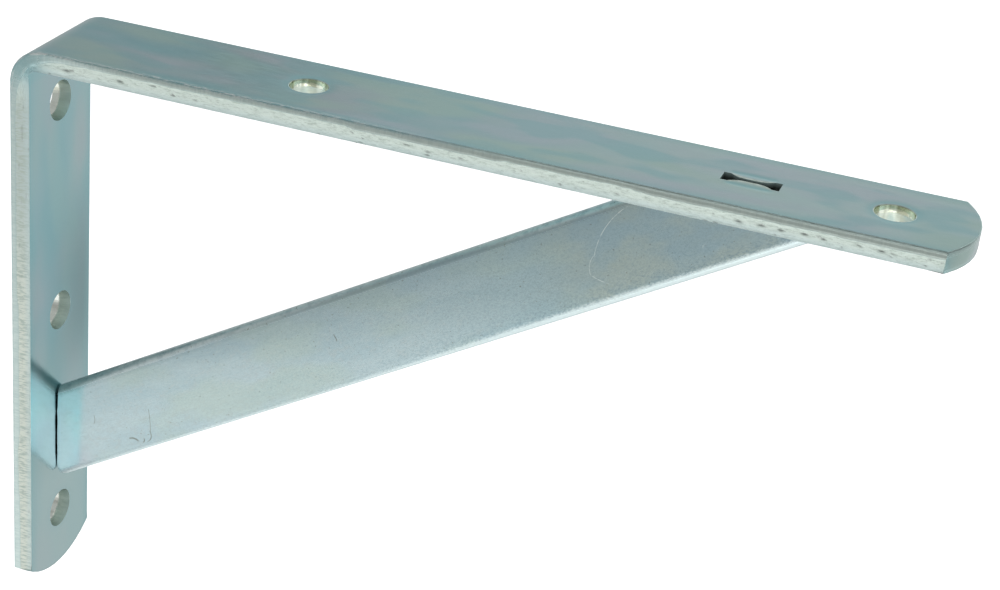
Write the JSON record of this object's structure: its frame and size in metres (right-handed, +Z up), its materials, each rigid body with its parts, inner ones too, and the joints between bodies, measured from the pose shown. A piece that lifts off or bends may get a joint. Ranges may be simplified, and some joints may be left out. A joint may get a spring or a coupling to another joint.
{
  "type": "gallows shelf bracket",
  "caption": "Gallows shelf bracket: a flat steel strip bent to a right angle, with arc-cut ends and punched screw holes, braced by a diagonal flat bar caulked into both arms.",
  "frame": {"origin": "on the wall plane, at the middle of the strip's width, midway between the upper and lower wall screw holes", "axes": "+X out from the wall along the shelf arm, +Z up towards the shelf, Y across the strip"},
  "size_m": [0.225, 0.03, 0.15],
  "materials": {
    "strip_zinc": "bright zinc plate, blue passivated, with smooth and torn zones on the sheared edges",
    "strut_zinc": "bright zinc plate, blue passivated, with faint handling scratches"
  },
  "bodies": {
    "root": {"bent_strip": "strip_zinc", "diagonal_strut": "strut_zinc"}
  },
  "joints": []
}
